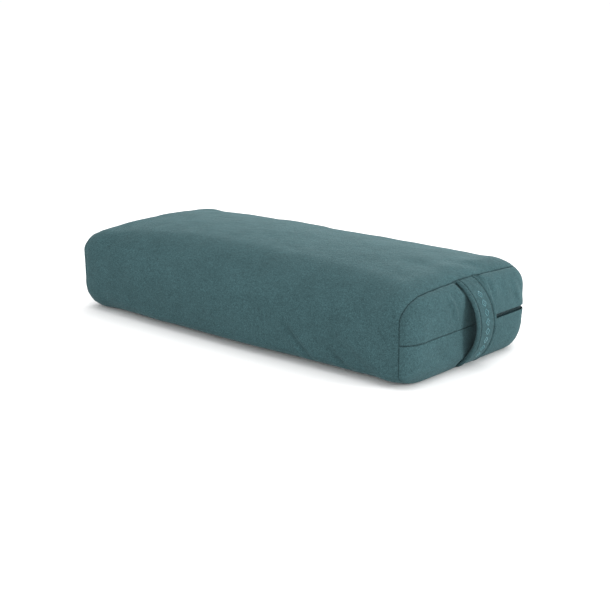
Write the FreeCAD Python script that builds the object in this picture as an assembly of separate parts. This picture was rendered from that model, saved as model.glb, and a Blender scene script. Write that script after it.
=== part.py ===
import FreeCAD, Part

import math
import os

from FreeCAD import Vector

# Rectangular bolster pillow with a zipped, removable cover and one end handle.
# Millimetres. X runs along the bolster towards the handle end, Z is up, and the
# origin is the centre of the underside, in the plane that it rests on.

# ---- driving dimensions: the body
SEAM_LENGTH = 625.0        # from one end seam to the other
END_PUFF = 17.5            # an end panel stands this far out of its seam
END_WIDTH = 290.0          # across the end seam, at mid-height
END_HEIGHT = 124.0         # over the end seam
SIDE_BULGE = 15.0          # each long side is this much fuller at mid-length
TOP_BULGE = 12.5           # the top is this much higher at mid-length
SIDE_SAG = (1.0, 5.0)      # convexity of a side from base to top, at an end and at mid-length
CROWN_SAG = (2.0, 8.4)     # crown of the top from side to side, at an end and at mid-length
TOP_CORNER_R = 27.0
BASE_CORNER_R = 36.0
SHOULDER_R = 24.0          # rounding from an end seam onto the flat of the end panel
BASE_TRIM = 0.3            # pressed off the underside so that it rests on a true plane

# ---- driving dimensions: layers of cloth
COVER_T = 1.2
LINER_T = 0.6
LAYER_GAP = 0.3

# ---- driving dimensions: zip
ZIP_Z = 61.0               # height of the zip and of the seams in line with it
ZIP_START_Y = 4.0          # where the slot begins, behind the handle
ZIP_END_X = -30.0          # where the slot ends, on the back
SLOT_W = 4.8
CHAIN_DEPTH = 3.7          # chain centre below the outside of the cover
TAPE_T = 0.4
TAPE_GAP = 0.7             # between a tape and the inside of the cover
TAPE_EDGE = 1.3            # inner edge of a tape from the middle of the chain
TAPE_REACH = 12.0
TAPE_TAIL = 4.0            # tape left past the end of the slot
COIL_GAP = 0.2
COIL_W = 2.0
COIL_T = 1.75
SLIDER_START_Y = 9.0
SLIDER_LENGTH = 14.0
PULL_LENGTH = 13.0

# ---- driving dimensions: handle
HANDLE_WIDTH = 45.5
HANDLE_Y = 6.2
HANDLE_AXIS_X = 282.0      # the strap bows on one arc about this line
HANDLE_AXIS_Z = 62.0
HANDLE_R = 69.1            # outer face of the strap
HANDLE_T = 4.7
STRAP_LAYER_T = 1.2
STITCH_PITCH = 4.2
STITCH_LENGTH = 3.0
STITCH_INSET = 4.0
MOTIF_COUNT = 9
MOTIF_PITCH = 11.5

# ---- worked out
SEAM_X = SEAM_LENGTH / 2
FACE_X = SEAM_X + END_PUFF
CHAIN_X = FACE_X - CHAIN_DEPTH
LINER_IN = COVER_T + LAYER_GAP
FILL_IN = LINER_IN + LINER_T + LAYER_GAP
BACK_R = (SEAM_X ** 2 + SIDE_BULGE ** 2) / (2 * SIDE_BULGE)
BACK_CENTRE_Y = END_WIDTH / 2 + SIDE_BULGE - BACK_R
BEND_R = SHOULDER_R - CHAIN_DEPTH
BEND_X = FACE_X - SHOULDER_R
CHAIN_BACK_R = BACK_R - CHAIN_DEPTH
BEND_Y = BACK_CENTRE_Y + math.sqrt((CHAIN_BACK_R - BEND_R) ** 2 - BEND_X ** 2)
BEND_ANGLE = math.degrees(math.atan2(BEND_Y - BACK_CENTRE_Y, BEND_X))
BIG = 2000.0
Z_AXIS = Vector(0, 0, 1)


def box(low, high):
    """Block between two opposite corners."""
    size = [b - a for a, b in zip(low, high)]
    return Part.makeBox(*size, Vector(*low))


def mirrored_z(shape, level):
    """Copy reflected in the horizontal plane at a level."""
    return shape.mirror(Vector(0, 0, level), Z_AXIS)


def save(node, shape):
    """Write one node, as a solid or as a group of separate solids."""
    solids = shape.Solids
    kept = solids[0] if len(solids) == 1 else Part.makeCompound(solids)
    kept.exportStep(os.path.join("parts", node + ".step"))
    volume = sum(solid.Volume for solid in solids)
    print(f"{node:26s} solids {len(solids):3d}  volume {volume / 1000:10.3f} cm3  valid {kept.isValid()}")


# ---- body -----------------------------------------------------------------

def unit(y, z):
    length = math.hypot(y, z)
    return y / length, z / length


def blend_centre(side_centre, side_r, top_centre, top_r):
    """Upper right crossing of two circles, given by centre (y, z) and radius."""
    dy = top_centre[0] - side_centre[0]
    dz = top_centre[1] - side_centre[1]
    gap = math.hypot(dy, dz)
    along = (side_r ** 2 - top_r ** 2 + gap ** 2) / (2 * gap)
    across = math.sqrt(side_r ** 2 - along ** 2)
    options = []
    for sign in (-1, 1):
        y = side_centre[0] + (along * dy + sign * across * dz) / gap
        z = side_centre[1] + (along * dz - sign * across * dy) / gap
        options.append((y, z))
    return max(options, key=sum)


def section_wire(x, inset=0.0):
    """Outline across X: flat base, convex sides and crowned top, joined by tangent corners."""
    side_full = 1 - (x / SEAM_X) ** 2
    top_full = 1 - abs(x / SEAM_X) ** 2.5
    half = END_WIDTH / 2 + SIDE_BULGE * side_full
    peak = END_HEIGHT + TOP_BULGE * top_full
    side_sag = SIDE_SAG[0] + (SIDE_SAG[1] - SIDE_SAG[0]) * side_full
    crown = CROWN_SAG[0] + (CROWN_SAG[1] - CROWN_SAG[0]) * top_full
    mid = peak / 2
    side_r = (mid ** 2 + side_sag ** 2) / (2 * side_sag)
    top_r = (half ** 2 + crown ** 2) / (2 * crown)
    side_centre = (half - side_r, mid)
    top_centre = (0.0, peak - top_r)
    upper = blend_centre(side_centre, side_r - TOP_CORNER_R, top_centre, top_r - TOP_CORNER_R)
    lower_z = BASE_CORNER_R - BASE_TRIM
    lower_y = side_centre[0] + math.sqrt((side_r - BASE_CORNER_R) ** 2 - (lower_z - mid) ** 2)
    lower = (lower_y, lower_z)

    def on(centre, radius, direction):
        return (centre[0] + radius * direction[0], centre[1] + radius * direction[1])

    low_r = BASE_CORNER_R - inset
    high_r = TOP_CORNER_R - inset
    to_side_low = unit(lower[0] - side_centre[0], lower[1] - side_centre[1])
    to_side_high = unit(upper[0] - side_centre[0], upper[1] - side_centre[1])
    to_top = unit(upper[0] - top_centre[0], upper[1] - top_centre[1])
    right = [
        on(lower, low_r, (0.0, -1.0)),
        on(lower, low_r, unit(to_side_low[0], to_side_low[1] - 1.0)),
        on(lower, low_r, to_side_low),
        (half - inset, mid),
        on(upper, high_r, to_side_high),
        on(upper, high_r, unit(to_side_high[0] + to_top[0], to_side_high[1] + to_top[1])),
        on(upper, high_r, to_top),
    ]
    left = [(-y, z) for y, z in reversed(right)]
    outline = [Vector(x, y, z) for y, z in right + [(0.0, peak - inset)] + left]
    edges = [Part.Arc(*outline[i:i + 3]).toShape() for i in range(0, len(outline) - 2, 2)]
    edges.append(Part.makeLine(outline[-1], outline[0]))
    return Part.Wire(edges)


def above_floor(shape):
    return shape.common(box((-BIG, -BIG, 0), (BIG, BIG, BIG)))


def middle(inset):
    """The body between its end seams, inset from the outside of the cover."""
    stations = [SEAM_X * step / 2 for step in range(-2, 3)]
    return Part.makeLoft([section_wire(x, inset) for x in stations], True, False)


def end_cap(sign, inset):
    """The puffed end, inset from the outside of its panel, with its root inside the body."""
    root_x = sign * (FACE_X - SHOULDER_R - 4.0)
    outer_x = sign * (FACE_X - inset)
    profile = section_wire(sign * SEAM_X, inset)
    profile.translate(Vector(root_x - sign * SEAM_X, 0, 0))
    block = Part.Face(profile).extrude(Vector(outer_x - root_x, 0, 0))
    rim = [edge for edge in block.Edges if all(abs(v.X - outer_x) < 1e-6 for v in edge.Vertexes)]
    return block.makeFillet(SHOULDER_R - inset, rim)


def past_seam(sign, shape):
    """The part of a cap that lies beyond its end seam."""
    low, high = sorted((sign * SEAM_X, sign * BIG))
    return shape.common(box((low, -BIG, -BIG), (high, BIG, BIG)))


# ---- handle ---------------------------------------------------------------

def bow(r_low, r_high, y_low, y_high, start_x=SEAM_X + LAYER_GAP):
    """Band bent about the handle's axis, from the end seam outwards."""
    corners = [
        Vector(HANDLE_AXIS_X + r_low, y_low, HANDLE_AXIS_Z),
        Vector(HANDLE_AXIS_X + r_high, y_low, HANDLE_AXIS_Z),
        Vector(HANDLE_AXIS_X + r_high, y_high, HANDLE_AXIS_Z),
        Vector(HANDLE_AXIS_X + r_low, y_high, HANDLE_AXIS_Z),
    ]
    face = Part.Face(Part.makePolygon(corners + corners[:1]))
    ring = face.revolve(Vector(HANDLE_AXIS_X, 0, HANDLE_AXIS_Z), Vector(0, 1, 0), 360)
    return ring.common(box((start_x, -BIG, -BIG), (BIG, BIG, BIG)))


def strap_dent(inset):
    """Where the sewn ends of the strap press into the end, grown inwards by an inset."""
    reach = HANDLE_WIDTH / 2 + LAYER_GAP + inset
    inner = HANDLE_R - HANDLE_T - LAYER_GAP - inset
    return bow(inner, 3 * HANDLE_R, HANDLE_Y - reach, HANDLE_Y + reach, SEAM_X - inset)


def handle_nodes():
    """The strap's face cloth with its turned edges, its backing and its padding."""
    half = HANDLE_WIDTH / 2
    inner = HANDLE_R - HANDLE_T
    face = bow(HANDLE_R - STRAP_LAYER_T, HANDLE_R, HANDLE_Y - half, HANDLE_Y + half)
    for sign in (-1, 1):
        edges = sorted((HANDLE_Y + sign * half, HANDLE_Y + sign * (half - STRAP_LAYER_T)))
        face = face.fuse(bow(inner, HANDLE_R, *edges))
    core = half - STRAP_LAYER_T - LAYER_GAP
    low, high = HANDLE_Y - core, HANDLE_Y + core
    back = bow(inner, inner + STRAP_LAYER_T, low, high)
    pad_low = inner + STRAP_LAYER_T + LAYER_GAP
    pad_high = HANDLE_R - STRAP_LAYER_T - LAYER_GAP
    return face.removeSplitter(), back, bow(pad_low, pad_high, low, high)


def around_handle(shape, angle):
    """Turn a small piece, made at the strap's outermost line, about the handle's axis."""
    turned = shape.copy()
    turned.rotate(Vector(HANDLE_AXIS_X, 0, HANDLE_AXIS_Z), Vector(0, -1, 0), angle)
    return turned


def handle_stitches():
    """Two rows of topstitches, set in from the strap's edges."""
    thread_t, thread_w = 0.4, 0.7
    step = math.degrees(STITCH_PITCH / HANDLE_R)
    reach = int(58.0 / step)
    x = HANDLE_AXIS_X + HANDLE_R
    row_y = HANDLE_WIDTH / 2 - STITCH_INSET
    stitches = []
    for sign in (-1, 1):
        y = HANDLE_Y + sign * row_y
        low = (x, y - thread_w / 2, HANDLE_AXIS_Z - STITCH_LENGTH / 2)
        high = (x + thread_t, y + thread_w / 2, HANDLE_AXIS_Z + STITCH_LENGTH / 2)
        stitches += [around_handle(box(low, high), step * i) for i in range(-reach, reach + 1)]
    return Part.makeCompound(stitches)


def handle_motif():
    """Plain embroidered lozenges in a row down the middle of the strap."""
    thread_t, half_w, half_l = 0.4, 3.2, 4.3
    x = HANDLE_AXIS_X + HANDLE_R
    points = [(half_w, 0), (0, half_l), (-half_w, 0), (0, -half_l)]
    corners = [Vector(x, HANDLE_Y + y, HANDLE_AXIS_Z + z) for y, z in points]
    lozenge = Part.Face(Part.makePolygon(corners + corners[:1])).extrude(Vector(thread_t, 0, 0))
    step = math.degrees(MOTIF_PITCH / HANDLE_R)
    first = -(MOTIF_COUNT - 1) / 2
    return Part.makeCompound([around_handle(lozenge, step * (first + i)) for i in range(MOTIF_COUNT)])


# ---- zip ------------------------------------------------------------------

def polar_angle(x):
    """Direction of a place on the back run of the chain, seen from the centre of its arc."""
    return 90.0 - math.degrees(math.asin(x / CHAIN_BACK_R))


def along_zip(points, start_y=ZIP_START_Y, end_x=ZIP_END_X):
    """Solid with a constant profile of (outwards, up) points from the chain's middle. It runs
    along the end face, round the back corner and along the back."""
    corners = [Vector(CHAIN_X + out, BEND_Y, ZIP_Z + up) for out, up in points]
    profile = Part.Face(Part.makePolygon(corners + corners[:1]))
    bend_at = Vector(BEND_X, BEND_Y, 0)
    straight = profile.extrude(Vector(0, start_y - BEND_Y, 0))
    bend = profile.revolve(bend_at, Z_AXIS, BEND_ANGLE)
    turned = profile.copy()
    turned.rotate(bend_at, Z_AXIS, BEND_ANGLE)
    back = turned.revolve(Vector(0, BACK_CENTRE_Y, 0), Z_AXIS, polar_angle(end_x) - BEND_ANGLE)
    return straight.fuse([bend, back]).removeSplitter()


def zip_hollow(grow=0.0):
    """Room that the chain, tapes and slider take out of the liner and the filling."""
    depth = -2.6 - grow
    reach = TAPE_REACH + 1.0 + grow
    outside = CHAIN_DEPTH + 3.0
    points = [(depth, -reach), (outside, -reach), (outside, reach), (depth, reach)]
    return along_zip(points, ZIP_START_Y - 2.0 - grow, ZIP_END_X - 2 * TAPE_TAIL - grow)


def zip_tape():
    """Upper tape: flat beside the coil, then out to the inside of the cover, where it is sewn."""
    low = -COIL_T / 2 - TAPE_T + 0.025
    high = CHAIN_DEPTH - COVER_T - TAPE_GAP
    slope = 0.16
    points = [
        (low, TAPE_EDGE),
        (low, 5.0),
        (high - TAPE_T, 8.0),
        (high - TAPE_T, TAPE_REACH),
        (high, TAPE_REACH),
        (high, 8.0 - slope),
        (low + TAPE_T, 5.0 - slope),
        (low + TAPE_T, TAPE_EDGE),
    ]
    return along_zip(points, end_x=ZIP_END_X - TAPE_TAIL)


def zip_coil():
    """Upper coil as a plain bar, with its end led aside past the slider's divider."""
    low = -COIL_T / 2 + 0.025
    high = low + COIL_T
    joined_y = SLIDER_START_Y + 5.0
    bar = along_zip([(low, COIL_GAP), (high, COIL_GAP), (high, COIL_GAP + COIL_W), (low, COIL_GAP + COIL_W)],
                    joined_y)
    aside = 1.5
    lead = [
        (joined_y, COIL_GAP),
        (joined_y, COIL_GAP + COIL_W),
        (SLIDER_START_Y + 2.5, COIL_GAP + COIL_W + 0.5),
        (SLIDER_START_Y - 1.0, COIL_GAP + COIL_W + 0.5),
        (SLIDER_START_Y - 1.0, aside),
        (SLIDER_START_Y + 2.5, aside),
    ]
    corners = [Vector(CHAIN_X + low, y, ZIP_Z + up) for y, up in lead]
    parted = Part.Face(Part.makePolygon(corners + corners[:1])).extrude(Vector(high - low, 0, 0))
    return bar.fuse(parted).removeSplitter()


def zip_slider():
    """Slider body: two plates and a divider round the chain, with a bridge out through the slot."""
    y0, y1 = SLIDER_START_Y, SLIDER_START_Y + SLIDER_LENGTH
    plate = [(y0 + 1.5, -2.6), (y0, -1.2), (y0, 1.2), (y0 + 1.5, 2.6), (y0 + 4.0, 3.7), (y1 - 1.0, 3.5),
             (y1, 2.8), (y1, -2.8), (y1 - 1.0, -3.5), (y0 + 4.0, -3.7)]
    divider = [(y0, -0.9), (y0, 0.9), (y0 + 2.4, 1.1), (y0 + 4.2, 0.0), (y0 + 2.4, -1.1)]

    def prism(outline, low, high):
        corners = [Vector(CHAIN_X + low, y, ZIP_Z + up) for y, up in outline]
        face = Part.Face(Part.makePolygon(corners + corners[:1]))
        return face.extrude(Vector(high - low, 0, 0))

    body = prism(plate, -2.1, -1.55)
    body = body.fuse(prism(plate, 1.2, 2.0))
    body = body.fuse(prism(divider, -1.8, 1.6))
    for sign in (-1, 1):
        rail = [(y0 + 4.0, sign * 3.05), (y0 + 4.0, sign * 3.7), (y1 - 1.0, sign * 3.5), (y1 - 1.0, sign * 3.05)]
        body = body.fuse(prism(rail, -0.55, 1.4))
    y = pull_pin_y()
    pin = pull_pin_x() - CHAIN_X
    arch = [(y - 3.6, -0.9), (y - 3.6, 0.9), (y + 3.6, 0.9), (y + 3.6, -0.9)]
    window = prism([(y - 1.6, -2), (y - 1.6, 2), (y + 1.6, 2), (y + 1.6, -2)], pin - 1.0, pin + 0.85)
    bridge = prism(arch, 1.9, pin + 1.7)
    tops = [edge for edge in bridge.Edges if all(v.X > CHAIN_X + pin for v in edge.Vertexes)
            and abs(edge.Vertexes[0].Y - edge.Vertexes[-1].Y) < 1e-6]
    bridge = bridge.makeFillet(1.2, tops)
    return body.fuse(bridge.cut(window)).removeSplitter()


def pull_pin_x():
    return FACE_X + 1.3


def pull_pin_y():
    return SLIDER_START_Y + SLIDER_LENGTH / 2


def zip_pull():
    """Pull tab: a cross pin under the bridge, two arms beside it and a rounded tab."""
    x, y = pull_pin_x(), pull_pin_y()
    half_t, half_w, eye = 0.5, 3.0, 4.6
    tab = box((x - half_t, y - 0.9, ZIP_Z - half_w), (x + half_t, y + PULL_LENGTH, ZIP_Z + half_w))
    tips = [edge for edge in tab.Edges if abs(edge.Vertexes[0].X - edge.Vertexes[-1].X) > half_t
            and abs(edge.Vertexes[0].Y - y - PULL_LENGTH) < 1e-6]
    tab = tab.makeFillet(2.4, tips)
    tab = tab.cut(box((x - 1, y - 2, ZIP_Z - 1.3), (x + 1, y + eye, ZIP_Z + 1.3)))
    hole = Part.makeCylinder(1.0, 4, Vector(x - 2, y + PULL_LENGTH - 3.2, ZIP_Z), Vector(1, 0, 0))
    pin = Part.makeCylinder(half_t, 5.0, Vector(x, y, ZIP_Z - 2.5), Z_AXIS)
    return tab.cut(hole).fuse(pin).removeSplitter()


def zip_stop(y, up_low, up_high):
    """Crimped metal stop on the tape and coil."""
    low = CHAIN_X - COIL_T / 2 - TAPE_T
    return box((low - 0.3, y, ZIP_Z + up_low), (CHAIN_X + COIL_T / 2 + 0.4, y + 1.4, ZIP_Z + up_high))


def bottom_stop():
    """Crimped stop across both rows where the zip ends on the back."""
    low = -COIL_T / 2 - TAPE_T - 0.3
    high = COIL_T / 2 + 0.4
    half = COIL_GAP + COIL_W + 0.4
    corners = [Vector(0, BACK_CENTRE_Y + CHAIN_BACK_R + out, ZIP_Z + up)
               for out, up in ((low, -half), (high, -half), (high, half), (low, half))]
    face = Part.Face(Part.makePolygon(corners + corners[:1]))
    centre = Vector(0, BACK_CENTRE_Y, 0)
    face.rotate(centre, Z_AXIS, polar_angle(ZIP_END_X) - 90.0)
    return face.revolve(centre, Z_AXIS, math.degrees(1.6 / CHAIN_BACK_R))


# ---- the assembly ---------------------------------------------------------

def cover_nodes():
    """The wrap round top, sides and base, and the end panels, as separate shells of cloth."""
    half_slot = SLOT_W / 2
    wrap = above_floor(middle(0).cut(middle(COVER_T)))
    wrap = wrap.cut(box((ZIP_END_X, 0, ZIP_Z - half_slot), (BIG, BIG, ZIP_Z + half_slot)))
    far = above_floor(past_seam(-1, end_cap(-1, 0).cut(end_cap(-1, COVER_T))))
    outer = end_cap(1, 0).cut(strap_dent(0))
    inner = end_cap(1, COVER_T).cut(strap_dent(COVER_T))
    near = above_floor(past_seam(1, outer.cut(inner)))
    near = near.cut(box((0, ZIP_START_Y, ZIP_Z - half_slot), (BIG, BIG, ZIP_Z + half_slot)))
    upper = near.common(box((0, -BIG, ZIP_Z), (BIG, BIG, BIG)))
    lower = near.common(box((0, -BIG, -BIG), (BIG, BIG, ZIP_Z)))
    return wrap, far, upper, lower


def lining_nodes():
    """The inner bag, sewn from a tube and two ends."""
    outer, inner = LINER_IN, LINER_IN + LINER_T
    hollow, backing = zip_hollow(), zip_hollow(LINER_T)
    tube = middle(outer).cut(hollow).cut(middle(inner).cut(backing))
    far = past_seam(-1, end_cap(-1, outer).cut(end_cap(-1, inner)))
    near_outer = end_cap(1, outer).cut(strap_dent(outer)).cut(hollow)
    near_inner = end_cap(1, inner).cut(strap_dent(inner)).cut(backing)
    return tube, past_seam(1, near_outer.cut(near_inner)), far


def filling():
    """Packed fibre, filling the inner bag."""
    body = middle(FILL_IN).fuse([past_seam(-1, end_cap(-1, FILL_IN)), past_seam(1, end_cap(1, FILL_IN))])
    return body.cut(strap_dent(FILL_IN)).cut(zip_hollow(LINER_T + LAYER_GAP))


def main():
    os.makedirs("parts", exist_ok=True)
    wrap, far, upper, lower = cover_nodes()
    save("cover_wrap", wrap)
    save("far_end_panel", far)
    save("handle_end_upper_panel", upper)
    save("handle_end_lower_panel", lower)

    face, back, padding = handle_nodes()
    save("handle_face", face)
    save("handle_back", back)
    save("handle_padding", padding)
    save("handle_stitching", handle_stitches())
    save("handle_motif", handle_motif())

    tape, coil = zip_tape(), zip_coil()
    save("zip_tape_upper", tape)
    save("zip_tape_lower", mirrored_z(tape, ZIP_Z))
    save("zip_coil_upper", coil)
    save("zip_coil_lower", mirrored_z(coil, ZIP_Z))
    save("zip_slider", zip_slider())
    save("zip_pull_tab", zip_pull())
    upper_stop = zip_stop(SLIDER_START_Y - 2.6, 1.0, 3.2).cut(tape)
    save("zip_top_stops", Part.makeCompound([upper_stop, mirrored_z(upper_stop, ZIP_Z)]))
    save("zip_bottom_stop", bottom_stop().cut(tape.fuse(mirrored_z(tape, ZIP_Z))))

    tube, near_lining, far_lining = lining_nodes()
    save("liner_body", tube)
    save("liner_handle_end", near_lining)
    save("liner_far_end", far_lining)
    save("fibre_fill", filling())


main()
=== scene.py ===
import math
import random

import bmesh
import bpy
import numpy as np
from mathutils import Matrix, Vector
from mathutils.kdtree import KDTree


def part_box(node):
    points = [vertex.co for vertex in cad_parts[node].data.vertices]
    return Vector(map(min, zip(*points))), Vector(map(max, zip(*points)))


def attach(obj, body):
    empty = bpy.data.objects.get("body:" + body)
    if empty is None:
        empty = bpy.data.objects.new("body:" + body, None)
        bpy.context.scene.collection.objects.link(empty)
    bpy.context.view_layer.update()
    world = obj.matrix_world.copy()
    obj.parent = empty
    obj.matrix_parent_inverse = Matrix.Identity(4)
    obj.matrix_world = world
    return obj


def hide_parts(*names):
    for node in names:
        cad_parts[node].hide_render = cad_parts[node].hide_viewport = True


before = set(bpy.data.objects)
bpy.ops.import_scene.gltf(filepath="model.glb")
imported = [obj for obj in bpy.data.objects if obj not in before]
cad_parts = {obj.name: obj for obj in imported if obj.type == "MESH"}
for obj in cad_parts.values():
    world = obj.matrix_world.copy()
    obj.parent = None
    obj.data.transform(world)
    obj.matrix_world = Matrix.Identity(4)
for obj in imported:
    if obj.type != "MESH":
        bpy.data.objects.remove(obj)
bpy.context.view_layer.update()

# Rectangular bolster pillow. Shapes are worked out in millimetres, from the frame's own
# boxes, and turned into metres when a mesh is made.

MM = 0.001


def node_box(node):
    """Lowest and highest corner of a CAD node, in millimetres."""
    low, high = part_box(node)
    return np.array(low) / MM, np.array(high) / MM


# ---- sizes read from the frame ----
SEAM_X = node_box("cover_wrap")[1][0]
FACE_X = node_box("handle_end_upper_panel")[1][0]
END_TOP = node_box("handle_end_upper_panel")[1][2]
STRAP_LOW, STRAP_HIGH = node_box("handle_face")
STRAP_Y = (STRAP_LOW[1] + STRAP_HIGH[1]) / 2
STRAP_HALF = (STRAP_HIGH[1] - STRAP_LOW[1]) / 2
TAPE_LOW = node_box("zip_tape_upper")[0]
ZIP_Z = (TAPE_LOW[2] + node_box("zip_tape_lower")[1][2]) / 2
ZIP_START_Y = TAPE_LOW[1]
ZIP_END_X = node_box("zip_bottom_stop")[1][0]
COIL_LOW, COIL_HIGH = node_box("zip_coil_upper")
COIL_INSET = 0.9          # from the coils' outer face to their middle line
CHAIN_X = COIL_HIGH[0] - COIL_INSET
CHAIN_DEPTH = FACE_X - CHAIN_X

# The kept tapes follow the CAD's back, an arc in plan, so the cover's back follows it too.
CAD_BACK = node_box("cover_wrap")[1][1]
CAD_HALF = node_box("far_end_panel")[1][1]
CAD_SHOULDER = 24.0       # radius of the end panels' rounded shoulder there
BACK_R = (SEAM_X ** 2 + (CAD_BACK - CAD_HALF) ** 2) / (2 * (CAD_BACK - CAD_HALF))
BACK_CENTRE_Y = CAD_BACK - BACK_R

# ---- the body's shape ----
PUFF = FACE_X - SEAM_X
END_HALF = 144.0          # half width across the end seam
SIDE_FULL = 3.4           # each long side is this much fuller at mid-length
SIDE_SAG = 6.1            # and bows out this much more at mid-height there
CROWN_END = 7.0           # crown of the top from side to side, at an end
CROWN_MID = 8.0           # and this much more at mid-length
TOP_FULL = 6.6            # the top is this much higher at mid-length
SIDE_POWER = 1.7
TOP_POWER = 9.4
CROWN_POWER = 7.0
TOP_SHIFT = 0.40          # the top is fuller towards the handle end
TOP_CORNER = 23.0
TOP_CORNER_MORE = 20.0    # the rounding along the top grows by this much towards mid-length
FRONT_CORNER = (50.0, 27.0)        # the front's top edge: across and down, at the handle end
FRONT_CORNER_MID = (78.0, 50.0)    # and at mid-length
BASE_CORNER = 35.8
FRONT_BASE_CORNER = (52.0, 19.0)   # the front's base edge turns under: across and up
FAR_BASE_CORNER = (36.0, 40.0)     # and at the far end
FAR_SPAN = 0.6            # share of the half length over which the far end's edges change to these
FAR_WIDTH = 0.3           # share of the wider top corner that the far end has already
SHOULDER = 31.0           # how far in from the end seam an end panel becomes flat
RISE_FROM = math.radians(18)       # the shoulder's arc starts this far round
END_HEIGHT = END_TOP + 1.4 - CROWN_END
ZIP_REACH = 17.0          # how far above and below the zip an end panel keeps the tighter shoulder

# ---- cloth ----
COVER_T = 1.0
SLOT_HALF = 2.9           # the zip holds its edges this far from its middle
SEAM_ROLL = 1.4           # radius at which a sewn edge turns in
LIP_ROLL = 0.9            # and an edge of the zip's slot
SWELL = 2.2               # how far the wrap swells beside an end seam
FLANGE = 2.6              # how far a sewn edge goes on inwards
LIP_FLANGE = 0.05
HAIR = 0.02               # the gap, each way, between the wrap's two long edges
CLOTH_STEP = 3.2          # spacing of the finished cloth's points
SIM_STEP = 8.0            # and of the simulated cover's
SIM_FRAMES = 16
WRINKLE_SHARE = 0.22      # of the simulated folds, this much is used
WRINKLE_CAP = 6.0
WRINKLE_BLEND = 9.0       # reach of each simulated point on the finished cloth

HANDLE_AXIS = (282.0, 62.0)        # x and z of the axis that the strap is bowed round
STRAP_R = STRAP_HIGH[0] - HANDLE_AXIS[0]
STRAP_T = 4.7             # thickness of its padded middle
STRAP_END = 1.165         # angle at which the strap has gone into the seam
BEAD = 3.4                # radius of the strap's rolled edges
STITCH_IN = 7.4           # topstitching, in from the edge
STITCH_WIDTH = 1.0        # half width of the valley that it pulls


def smooth(t):
    t = np.clip(t, 0.0, 1.0)
    return t * t * (3 - 2 * t)


def graded(length, coarse, fine=0.45, growth=1.45, both=True):
    """Shares from 0 to 1 along a length, close together at its start, and at its end too if both."""
    steps = []
    step = fine
    while step < coarse:
        steps.append(step)
        step *= growth
    head = np.cumsum([0.0] + steps)
    tail = length - head[::-1] if both else np.array([length])
    middle = np.linspace(head[-1], tail[0], max(2, round((tail[0] - head[-1]) / coarse) + 1))
    return np.concatenate([head, middle[1:-1], tail]) / length


def fullness(u):
    """How far the sides, the top and its crown have swelled at a share u of the half length."""
    side = 1 - abs(u) ** SIDE_POWER
    moved = u - TOP_SHIFT * (1 - u * u)
    top = 1 - abs(moved) ** TOP_POWER
    crown = 1 - abs(u) ** CROWN_POWER
    return side, top, crown


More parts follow.
